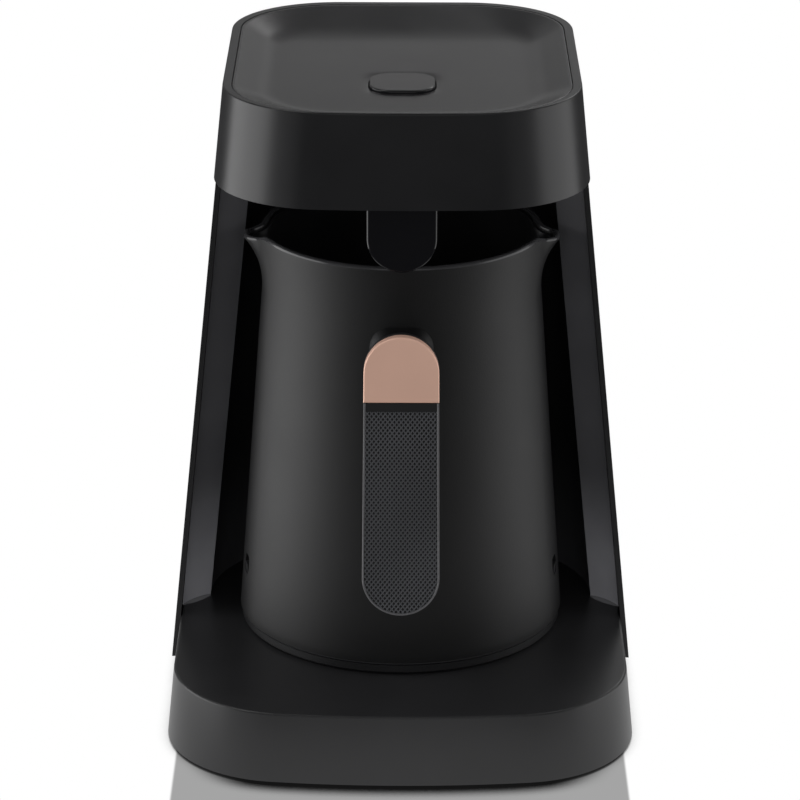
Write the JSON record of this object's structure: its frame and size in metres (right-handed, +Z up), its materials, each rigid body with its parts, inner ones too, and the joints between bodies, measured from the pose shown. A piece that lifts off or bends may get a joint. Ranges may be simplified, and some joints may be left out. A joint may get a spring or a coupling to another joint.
{
  "type": "electric turkish coffee maker",
  "caption": "Compact countertop coffee brewer: tapering tower with a niche, overhanging head with one button, and a lift-out two-spout brewing pot with an upright pill handle.",
  "frame": {"origin": "on the table, under the pot's axis, at the middle of the footprint", "axes": "+Z up; -Y is the front, where the handle is; +X to the right seen from the front"},
  "size_m": [0.1644, 0.1836, 0.231],
  "materials": {
    "satin_black": "satin moulded ABS, deep black",
    "moulded_black": "fine spark-eroded black plastic",
    "liner_black": "matte black liner",
    "panel_grey": "soft satin charcoal",
    "gloss_black": "glossy infrared-clear black",
    "pot_black": "fine-grained matte black",
    "grip_rubber": "black grip with a fine raised mesh",
    "rose_copper": "satin rose copper",
    "rubber": "black rubber",
    "screw_steel": "zinc-plated steel",
    "vessel_steel": "dark stainless steel",
    "heater_aluminium": "cast aluminium",
    "contact_brass": "plated brass",
    "board_green": "green circuit board",
    "component_black": "black component housings",
    "relay_blue": "blue component housings",
    "capacitor_yellow": "yellow film capacitor",
    "wire_sleeve": "silicone sleeving"
  },
  "bodies": {
    "machine": {"base_shell": "satin_black", "base_plate": "moulded_black", "rubber_feet": "rubber", "base_screws": "screw_steel", "carrier_screws": "screw_steel", "contact_carrier": "moulded_black", "contact_springs": "screw_steel", "tower_liner": "liner_black", "outer_shell": "satin_black", "tower_screws": "screw_steel", "cord_gland": "rubber", "head_band": "satin_black", "head_underside": "moulded_black", "head_screws": "screw_steel", "top_panel": "panel_grey", "button_guide": "moulded_black", "sensor_nose": "gloss_black", "sensor_board": "board_green", "control_board": "board_green", "board_screws": "screw_steel", "tact_switch": "component_black", "buzzer": "component_black", "power_board": "board_green", "relay": "relay_blue", "mains_capacitor": "capacitor_yellow", "transformer": "component_black", "terminal_block": "relay_blue", "wire_harness": "wire_sleeve"},
    "button_cap": {"button": "panel_grey"},
    "plunger": {"switch_plunger": "component_black"},
    "pins": {"contact_pins": "contact_brass"},
    "pot": {"pot_shell": "pot_black", "pot_vessel": "vessel_steel", "vessel_seal": "rubber", "pot_base": "moulded_black", "pot_screws": "screw_steel", "contact_rings": "contact_brass", "heater_plate": "heater_aluminium", "heater_element": "vessel_steel", "thermostat": "component_black", "handle_body": "moulded_black", "grip_insert": "grip_rubber", "handle_cap": "rose_copper", "handle_screws": "screw_steel"}
  },
  "joints": [
    {"name": "button_press", "type": "slide", "parent": "machine", "child": "button_cap", "axis": [0, 0, -1], "range_m": [0, 0.0008], "stiffness_N_per_m": 900, "springref_m": -0.0006},
    {"name": "plunger_press", "type": "slide", "parent": "machine", "child": "plunger", "axis": [0, 0, -1], "range_m": [0, 0.0008]},
    {"name": "pin_press", "type": "slide", "parent": "machine", "child": "pins", "axis": [0, 0, -1], "range_m": [0, 0.001], "stiffness_N_per_m": 300, "springref_m": -0.001, "deforming": ["contact_springs"]},
    {"name": "pot_removal", "type": "slide", "parent": "machine", "child": "pot", "axis": [0, -1, 0], "range_m": [0, 0.17]}
  ],
  "couplings": [
    {"joint": "plunger_press", "follows": "button_press", "ratio": 1}
  ]
}
